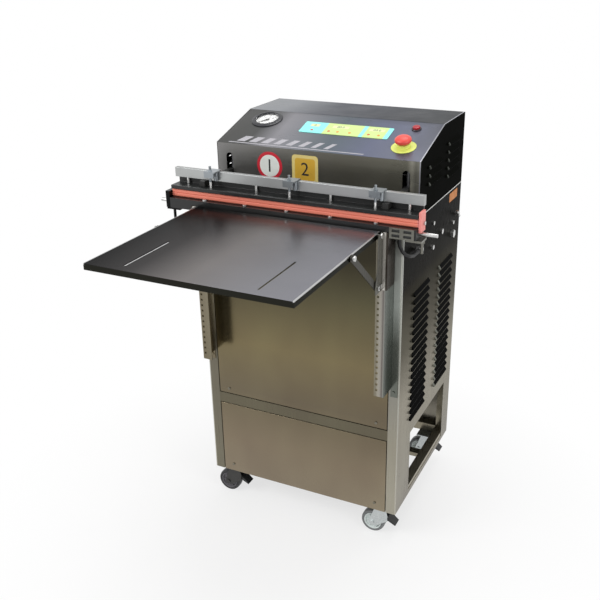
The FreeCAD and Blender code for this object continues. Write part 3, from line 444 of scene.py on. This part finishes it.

# ---- Cabinet skin ---------------------------------------------------------------------------------
# Folded stainless sheet: two flanged front panels held by screws, louvred sides with an open window
# low down, folded round the front corners, and a louvred back.
# The panels' tone ramp is painted shade: it is darkest high up, under the table.
panel = Finish(bpy.data.materials.new("front_steel"))
front_steel = stainless(panel, panel.ramp(panel.axis("Z"), [
    (0.09, srgb(140, 128, 110)), (0.2, srgb(134, 121, 102)), (0.3, srgb(118, 107, 88)),
    (0.36, srgb(112, 102, 84)), (0.5, srgb(122, 110, 82)), (0.68, srgb(84, 79, 60)),
    (0.78, srgb(54, 50, 39)), (0.86, srgb(48, 45, 36))]), rough=0.22, mottle=0.12, brush=0.3,
    depth=0.03)
for node in ("upper_panel", "lower_panel"):
    eased(node, front_steel, 0.0005)

sheet = Finish(bpy.data.materials.new("side_steel"))
# Painted shade and light up the side: the flat sheet darkens towards the top as painted shade, the
# left front corner is lightened high up against the table's shadow, the right front corner carries a
# painted highlight high up, and the folds lighten towards the top as a painted highlight.
flat_tone = sheet.ramp(sheet.axis("Z"), [
    (0.09, srgb(188, 183, 174)), (0.28, srgb(186, 181, 168)), (0.40, srgb(186, 180, 166)),
    (0.55, srgb(118, 114, 102)), (0.72, srgb(50, 48, 42)), (0.86, srgb(20, 20, 18))])
left_tone = sheet.ramp(sheet.axis("Z"), [
    (0.09, srgb(118, 113, 98)), (0.5, srgb(108, 103, 90)), (0.62, srgb(176, 168, 146)),
    (0.86, srgb(184, 176, 156))])
right_tone = sheet.ramp(sheet.axis("Z"), [
    (0.09, srgb(158, 153, 140)), (0.3, srgb(152, 147, 133)), (0.5, srgb(142, 141, 134)),
    (0.68, srgb(186, 187, 178)), (0.8, srgb(228, 229, 220)), (0.86, srgb(160, 161, 154))])
corner_tone = sheet.between(left_tone, right_tone, sheet.axis("X") > 0)
fold_tone = sheet.ramp(sheet.axis("Z"), [
    (0.09, srgb(176, 172, 160)), (0.5, srgb(176, 176, 166)), (0.86, srgb(206, 208, 202))])
side_face, fold_start, flange_back, fold_back = 0.2704, 0.2674, 0.0073, 0.0085
louvre_end = (0.279, 0.287)
sideways, backward = abs(sheet.axis("X")), sheet.axis("Y")
# The louvres are painted dark as shade, and their front ends are lighter as a painted highlight.
tip = (backward > louvre_end[0]) * (backward < louvre_end[1])
louvre_shade_and_highlight = sheet.between(srgb(10, 10, 8), srgb(120, 121, 114), tip)
body_tone = sheet.between(flat_tone, louvre_shade_and_highlight, sideways > side_face)
body_tone = sheet.between(body_tone, corner_tone, backward < flange_back)
folded = backward < fold_back
side_tone = sheet.between(body_tone, fold_tone, (sideways > fold_start) * folded)
side_steel = stainless(sheet, side_tone, metal=0.9 - folded * 0.45, rim=0.35)
for node in ("side_panel_left", "side_panel_right"):
    eased(node, side_steel, 0.0003)
back = Finish(bpy.data.materials.new("back_steel"))
eased("rear_panel", stainless(back, back.ramp(back.axis("Z"), [
    (0.09, srgb(140, 135, 124)), (0.86, srgb(92, 90, 84))])), 0.0003)
bright_steel = plated("bright_steel", srgb(205, 205, 203), 0.22)
eased("panel_screws", plated("screw_steel", srgb(128, 124, 112), 0.3), 0.0004)

# ---- Inside the cabinet ---------------------------------------------------------------------------
# Dry vacuum pump with its motor and exhaust filter on two cross rails, the control box, cylinders,
# valves and their hoses.
pump_paint = moulded("pump_paint", srgb(104, 110, 114), 0.42, 500.0)
box_paint = moulded("box_paint", srgb(170, 172, 170), 0.45, 500.0)
hose_rubber = moulded("hose_rubber", srgb(13, 13, 14), 0.6, 700.0)
aluminium = plated("aluminium", srgb(186, 187, 190), 0.32)
for node in ("vacuum_pump", "exhaust_filter"):
    eased(node, pump_paint, 0.0008)
eased("control_box", box_paint, 0.0012)
for node in ("vacuum_hose", "jaw_hose"):
    eased(node, hose_rubber, 0.0002)
for node in ("jaw_cylinders", "valve_block"):
    eased(node, aluminium, 0.0006)
eased("rear_inlets", moulded("inlet_black", srgb(30, 30, 31), 0.45), 0.0004)
eased("side_fittings", bright_steel, 0.0004)

# ---- Hood -----------------------------------------------------------------------------------------
# Folded cover with a sloping panel, slotted for the jaw arms and nozzles, between two louvred
# cheeks of dark sheet, on the cabinet's top plate, whose edge carries a painted highlight.
cover = Finish(bpy.data.materials.new("hood_steel"))
# Painted reflection and highlights on the hood: a lighter stripe near the front's right end is a
# painted highlight, the tones across the slope and the ridge are painted reflection, and the right
# edge is a painted highlight.
front_tone = cover.ramp(cover.axis("X"), [
    (-0.268, srgb(134, 133, 132)), (0.0, srgb(116, 114, 106)), (0.236, srgb(124, 122, 110)),
    (0.248, srgb(172, 169, 156)), (0.257, srgb(130, 128, 118)), (0.268, srgb(150, 148, 138))])
slope_tone = cover.ramp(cover.axis("X"), [
    (-0.268, srgb(88, 88, 86)), (-0.19, srgb(88, 89, 88)), (-0.13, srgb(146, 145, 150)),
    (0.02, srgb(101, 110, 117)), (0.12, srgb(106, 111, 130)), (0.268, srgb(116, 118, 130))])
ridge_tone = cover.ramp(cover.axis("X"), [
    (-0.268, srgb(158, 161, 165)), (-0.19, srgb(154, 157, 162)), (-0.06, srgb(78, 82, 93)),
    (0.1, srgb(48, 53, 62)), (0.268, srgb(24, 31, 36))])
lower_fold, upper_fold, bright_edge = 0.9955, 1.0475, 0.2658
slope_tone = cover.between(slope_tone, ridge_tone, cover.axis("Z") > upper_fold)
hood_tone = cover.between(front_tone, slope_tone, cover.axis("Z") > lower_fold)
edged = cover.between(hood_tone, srgb(196, 197, 204), cover.axis("X") > bright_edge)
hood_steel = stainless(cover, edged, (4, 420, 420), rough=0.33, metal=0.8, mottle=0.06, rim=0.6)
eased("hood_cover", hood_steel, 0.0008)
plate, plate_edge = Finish(bpy.data.materials.new("deck_steel")), 0.2698
# The deck's outer edges are a painted highlight.
deck_tone = plate.between(srgb(70, 68, 62), srgb(222, 222, 218), abs(plate.axis("X")) > plate_edge)
eased("top_deck", stainless(plate, deck_tone, (4, 420, 420)), 0.0003)
cheek = Finish(bpy.data.materials.new("cheek_steel"))
cheek_face, first_end, second_end = 0.2722, 0.168, (0.3085, 0.3155)
cheek_y = cheek.axis("Y")
second_tips = (cheek_y > second_end[0]) * (cheek_y < second_end[1])
tips = (abs(cheek.axis("X")) > cheek_face) * ((cheek_y < first_end) + second_tips)
# The louvre ends on the cheeks are lighter as painted highlights.
cheek_tone = cheek.between(srgb(32, 34, 28), srgb(104, 106, 102), tips)
cheek_steel = stainless(cheek, cheek_tone, rough=0.36, metal=0.96, rim=0.12)
for node in ("hood_side_left", "hood_side_right"):
    eased(node, cheek_steel, 0.0003)
eased("hood_back", back.owner, 0.0003)

# ---- Gauge ----------------------------------------------------------------------------------------
# Round vacuum gauge set in the slope: black case, white dial with a printed scale, and a glass.
fold_height, slope_rise, slope_run = 0.996, 0.052, 0.176
slope_foot = np.array((0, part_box("hood_cover")[0].y, fold_height))
slope = math.atan2(slope_rise, slope_run)
slope_up = np.array((0, math.cos(slope), math.sin(slope)))
slope_out = np.array((0, -math.sin(slope), math.cos(slope)))


def on_slope(points):
    """Points given as across, up the slope and out of it, placed on the sloping panel."""
    return np.asarray(points, float) @ np.array([(1, 0, 0), slope_up, slope_out]) + slope_foot


def on_front(points):
    """Points given as across, above the fold and out of it, placed on the hood's front."""
    return np.asarray(points, float) @ np.array([(1, 0, 0), (0, 0, 1), (0, -1, 0)]) + slope_foot


def plaque(name, outline, low, high, finish, place=on_slope):
    """A flat plate on the slope or the front, from its outline and its two heights."""
    points, faces = slab(outline, low, high)
    return shell(name, place(points), faces, finish, "cabinet", smooth=False)


def lettering(name, text, size, centre, lift, finish, place=on_slope):
    """Printed figures, made a thin mesh before they are placed."""
    ink_rise, arc_steps = 0.00006, 3
    curve = bpy.data.curves.new(name, "FONT")
    curve.body, curve.size, curve.extrude = text, size, ink_rise
    curve.align_x, curve.align_y = "CENTER", "CENTER"
    curve.resolution_u = arc_steps
    draft = bpy.data.objects.new(name + "_draft", curve)
    scene.collection.objects.link(draft)
    bpy.context.view_layer.update()
    mesh = bpy.data.meshes.new_from_object(draft)
    bpy.data.objects.remove(draft)
    flat = np.empty(len(mesh.vertices) * 3)
    mesh.vertices.foreach_get("co", flat)
    placed = place(flat.reshape(-1, 3) + (centre[0], centre[1], lift))
    mesh.vertices.foreach_set("co", placed.ravel())
    mesh.materials.clear()
    mesh.materials.append(finish)
    piece = bpy.data.objects.new(name, mesh)
    scene.collection.objects.link(piece)
    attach(piece, "cabinet")


gauge_x, gauge_s = -0.193, 0.133
eased("gauge_case", moulded("gauge_black", srgb(34, 35, 40), 0.3), 0.0004)
eased("gauge_dial", moulded("dial_paint", srgb(244, 244, 242), 0.45), 0.0001)
eased("gauge_needle", moulded("needle_paint", srgb(24, 24, 26), 0.35), 0.0001)
glass = Finish(bpy.data.materials.new("gauge_glass"))
glass.cover(glass.add("BsdfPrincipled", {}, {
    "Base Color": white, "Roughness": glass.noise((60, 60, 60)) * 0.04,
    "Transmission Weight": 1.0, "IOR": 1.1}))
eased("gauge_glass", glass.owner, 0.0002)
print_ink = moulded("print_ink", srgb(28, 28, 30), 0.55)
dial_lift, ink_half, tick_end = -0.0019, 0.0001, 0.026
first_angle, sweep, marks, steps_between = 225, 270, 6, 5
tick_count = marks * steps_between
ticks = []
for step in range(tick_count + 1):
    angle = math.radians(first_angle - step * sweep / tick_count)
    start, half = (0.0222, 0.0002) if step % steps_between else (0.0195, 0.00045)
    outward = np.array((math.cos(angle), math.sin(angle)))
    aside = np.array((-math.sin(angle), math.cos(angle)))
    corners = [(gauge_x, gauge_s) + outward * r + aside * w for r, w in
               ((start, -half), (tick_end, -half), (tick_end, half), (start, half))]
    ticks.append(slab(corners, dial_lift - ink_half, dial_lift + ink_half))
points, faces = gathered(*ticks)
shell("gauge_scale", on_slope(points), faces, print_ink, "cabinet", smooth=False)
figure_size, figure_radius, figure_worth = 0.0058, 0.0155, 5
for step in range(marks + 1):
    angle = math.radians(first_angle - step * sweep / marks)
    spot = (gauge_x + figure_radius * math.cos(angle), gauge_s + figure_radius * math.sin(angle))
    lettering(f"gauge_figure_{step}", str(step * figure_worth), figure_size, spot, dial_lift,
              print_ink)

# ---- Control overlay ------------------------------------------------------------------------------
# Printed polyester film over the membrane keys: blue-green and yellow-green fields, small dark
# figures on pale windows, and a red or amber dot on each key.
film = Finish(bpy.data.materials.new("overlay_film"))
lime_spans = (-0.018, 0.079), (0.089, 0.143)
along, sheen = film.axis("X"), film.noise((90, 90, 90))
teal = film.between(srgb(138, 236, 230), srgb(152, 242, 236), sheen)
lime = film.between(srgb(200, 228, 136), srgb(210, 236, 150), sheen)
wide, narrow = ((along > start) * (along < end) for start, end in lime_spans)
film.cover(film.add("BsdfPrincipled", {}, {
    "Base Color": film.between(teal, lime, wide + narrow), "Roughness": 0.36 + sheen * 0.1,
    "Coat Weight": 0.1}))
film_top, print_sink = 0.0012, 0.0002
pale_print = moulded("pale_print", srgb(226, 240, 176), 0.4)
figure_ink = moulded("figure_ink", srgb(66, 74, 62), 0.4)
key_red = moulded("key_red", srgb(214, 84, 62), 0.4)
key_amber = moulded("key_amber", srgb(226, 150, 62), 0.4)


def rounded(centre, half, corner, steps=5):
    """Outline of a rectangle whose corners are arcs: corner centre plus radius times (cos, sin)."""
    arcs = []
    for quarter, (sx, sy) in enumerate(((1, 1), (-1, 1), (-1, -1), (1, -1))):
        t = np.linspace(0, np.pi / 2, steps) + quarter * np.pi / 2
        arcs.append(np.column_stack([centre[0] + sx * (half[0] - corner) + corner * np.cos(t),
                                     centre[1] + sy * (half[1] - corner) + corner * np.sin(t)]))
    return np.vstack(arcs)


film_centre, film_half, film_corner = (0.037, 0.112), (0.118, 0.027), 0.0035
overlay = plaque("overlay_skin", rounded(film_centre, film_half, film_corner), print_sink,
                 film_top, film.owner)
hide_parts("control_overlay")
window_s, window_half, digit_size, digit_lift = 0.123, 0.0062, 0.0115, 0.00022
for k, (x, half, text) in enumerate(((-0.05, 0.012, "0"), (0.02, 0.022, "00.0"),
                                     (0.116, 0.02, "00.0"))):
    plaque(f"display_window_{k}", rounded((x, window_s), (half, window_half), 0.0015),
           film_top - print_sink, film_top + 0.0001, pale_print)
    lettering(f"display_figure_{k}", text, digit_size, (x, window_s - 0.0005),
              film_top + digit_lift, figure_ink)
key_s, key_half = 0.099, 0.0036
for k, (x, ink) in enumerate(((-0.05, key_red), (-0.004, key_red), (0.02, key_amber),
                              (0.052, key_amber), (0.102, key_red), (0.128, key_amber))):
    plaque(f"membrane_key_{k}", rounded((x, key_s), (key_half, key_half), key_half - 0.0002),
           film_top - print_sink, film_top + print_sink, ink)

# ---- Printed marks --------------------------------------------------------------------------------
# Plain vinyl on the bare steel: a row of slanted bars low on the slope, two step numbers on the
# hood's front, and an amber tag high on the right side.
bar_vinyl = moulded("bar_vinyl", srgb(172, 170, 176), 0.4)
vinyl_rise, bar_count = 0.0002, 8
bar_foot, bar_head, lean = 0.015, 0.041, 0.014
first_bar, bar_pitch, widest_bar, narrowing = -0.22, 0.034, 0.022, 0.0014
bars = []
for k in range(bar_count):
    left, width = first_bar + k * bar_pitch, widest_bar - k * narrowing
    bars.append(slab([(left, bar_foot), (left + width, bar_foot), (left + width + lean, bar_head),
                      (left + lean, bar_head)], 0.0, vinyl_rise))
underline = [(-0.24, 0.006), (0.124, 0.006), (0.126, 0.0095), (-0.238, 0.0095)]
bars.append(slab(underline, 0.0, vinyl_rise))
points, faces = gathered(*bars)
shell("slope_bars", on_slope(points), faces, bar_vinyl, "cabinet", smooth=False)
vinyl = {"red": moulded("vinyl_red", srgb(206, 42, 58), 0.36),
         "white": moulded("vinyl_white", srgb(236, 240, 234), 0.4),
         "amber": moulded("vinyl_amber", srgb(216, 172, 60), 0.36),
         "pale": moulded("vinyl_pale", srgb(228, 208, 132), 0.36)}
patch_up, patch_half, field_half, field_share = -0.047, 0.035, 0.027, 0.76
patch_rise, field_rise, step_size, step_lift = 0.0003, 0.0004, 0.046, 0.0005
for text, x, outer, inner, corner in (("1", -0.121, "red", "white", 0.0345),
                                      ("2", -0.024, "pale", "amber", 0.009)):
    patch = rounded((x, patch_up), (patch_half, patch_half), corner, 16)
    field = rounded((x, patch_up), (field_half, field_half), corner * field_share, 16)
    plaque("step_patch_" + text, patch, 0.0, patch_rise, vinyl[outer], on_front)
    plaque("step_field_" + text, field, vinyl_rise, field_rise, vinyl[inner],
           on_front)
    lettering("step_figure_" + text, text, step_size, (x, patch_up - 0.001), step_lift, print_ink,
              on_front)
side_skin = (0.27, 0, 0)


def on_right(points):
    """Points given as along the side, upward and out of it, placed on the right side panel."""
    return np.asarray(points, float) @ np.array([(0, 1, 0), (0, 0, 1), (1, 0, 0)]) + side_skin


tag_centre, tag_half, tag_corner = (0.382, 0.845), (0.034, 0.0115), 0.002
plaque("amber_tag", rounded(tag_centre, tag_half, tag_corner), 0.0, patch_rise,
       moulded("tag_amber", srgb(186, 108, 16), 0.5), on_right)

# ---- Emergency stop and push button ---------------------------------------------------------------
# Mushroom head on a yellow disc, and a small red button in a dark collar, both clamped through
# the slope.
stop_yellow = moulded("stop_yellow", srgb(226, 236, 116), 0.42)
stop_red = moulded("stop_red", srgb(228, 76, 66), 0.36)
eased("stop_base", stop_yellow, 0.0004)
stop_x, stop_s = 0.207, 0.057
# Section as radius and height over the slope.
head = [(0.0, -0.012), (0.0068, -0.012), (0.0068, 0.0148), (0.0176, 0.0148), (0.0194, 0.0156),
        (0.0199, 0.0172), (0.0199, 0.0206), (0.0192, 0.0226), (0.0172, 0.0247), (0.0135, 0.0267),
        (0.009, 0.0281), (0.0045, 0.0289), (0.0, 0.0291)]
points, faces = revolved(head)
stop_head = shell("stop_head_skin", on_slope(points + (stop_x, stop_s, 0)), faces, stop_red,
                  "stop_head")
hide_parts("stop_button")
eased("button_bezel", moulded("collar_dark", srgb(52, 36, 42), 0.3), 0.0002)
eased("push_button", moulded("button_red", srgb(168, 22, 38), 0.34), 0.0012)

# ---- Jaws -----------------------------------------------------------------------------------------
# Two black steel channels faced with salmon silicone lips, clamped by an aluminium bar on sprung
# studs; the upper one rides on two arms that come out of the hood.
jaw_black = moulded("jaw_black", srgb(24, 25, 25), 0.36, 500.0)
for node in ("lower_jaw", "upper_jaw"):
    eased(node, jaw_black, 0.0006)
lip_cap_start, bar_foot_z = 0.3125, 0.9316
ends = Finish(bpy.data.materials.new("end_steel"))
end_tone = ends.between(srgb(24, 25, 25), srgb(116, 115, 108), ends.axis("X") > 0)
eased("jaw_end_brackets", stainless(ends, end_tone, rough=0.32), 0.0005)
rubber = Finish(bpy.data.materials.new("silicone"))
lip_tone = rubber.between(srgb(238, 134, 112), srgb(228, 138, 130), rubber.axis("X") > lip_cap_start)
silicone = moulded_over(rubber, lip_tone, lip_tone, 0.5, 700.0)
for node in ("lower_lip", "upper_lip"):
    eased(node, silicone, 0.0009)
bar = Finish(bpy.data.materials.new("bar_silver"))
bar_tone = bar.ramp(bar.axis("X"), [
    (-0.32, srgb(178, 180, 179)), (0.1, srgb(186, 188, 189)), (0.32, srgb(176, 178, 177))])
post_tone = bar.between(srgb(236, 236, 234), bar_tone, bar.axis("Z") > bar_foot_z)
bar_silver = stainless(bar, post_tone, (3, 380, 380), rough=0.36, mottle=0.06, rim=0.7, brush=0.5)
eased("seal_bar", bar_silver, 0.0006)
clamp = Finish(bpy.data.materials.new("clamp_steel"))
clamp_tone = clamp.between(srgb(240, 240, 238), srgb(150, 156, 160), clamp.axis("Z") > bar_foot_z)
eased("bar_clamps", stainless(clamp, clamp_tone, (60, 60, 60), rough=0.3), 0.0003)
for node in ("jaw_bolts", "cross_shaft"):
    eased(node, bright_steel, 0.0003)
eased("jaw_arms", moulded("arm_black", srgb(26, 26, 25), 0.6, 500.0), 0.0006)
eased("nozzle_carriage", plated("nozzle_steel", srgb(122, 122, 119), 0.42), 0.0004)

# ---- Table ----------------------------------------------------------------------------------------
# Folded stainless table on hinge pins, held level by two struts and brackets that hang on the racks.
top = Finish(bpy.data.materials.new("table_steel"))
# Painted reflection across the top, dark on the left and light on the right; the hem below the top
# face is painted dark as shade, and a painted highlight runs along the top's side edges.
top_tone = top.ramp(top.axis("X"), [
    (-0.234, srgb(26, 26, 26)), (-0.12, srgb(72, 70, 70)), (0.0, srgb(138, 134, 133)),
    (0.15, srgb(145, 145, 150)), (0.234, srgb(148, 148, 155))])
top_face, rim_start, rim_foot = 0.8758, 0.2318, 0.8742
hem_in_shade = top.between(srgb(38, 38, 33), top_tone, top.axis("Z") > top_face)
rim_line = (abs(top.axis("X")) > rim_start) * (top.axis("Z") > rim_foot)
rim_highlit = top.between(hem_in_shade, srgb(206, 206, 206), rim_line)
table_steel = stainless(top, rim_highlit, (420, 4, 420), rough=0.25, metal=0.9, mottle=0.05, rim=0.5,
                        depth=0.006, brush=0.15)
eased("table_top", table_steel, 0.0008)
arm = Finish(bpy.data.materials.new("bracket_steel"))
# A painted highlight stripe runs up each bracket, with a painted dark line beside it.
bracket_tone = arm.ramp(abs(arm.axis("X")), [
    (0.2, srgb(72, 70, 63)), (0.238, srgb(74, 72, 66)), (0.2405, srgb(112, 111, 104)),
    (0.2435, srgb(200, 196, 190)), (0.2475, srgb(190, 187, 180)), (0.2497, srgb(58, 52, 46)),
    (0.253, srgb(58, 52, 46))])
bracket_steel = stainless(arm, bracket_tone, (300, 300, 4), rough=0.26, metal=0.7, rim=0.5)
for node in ("table_brackets", "table_struts"):
    eased(node, bracket_steel, 0.0005)
eased("table_pins", bright_steel, 0.0004)
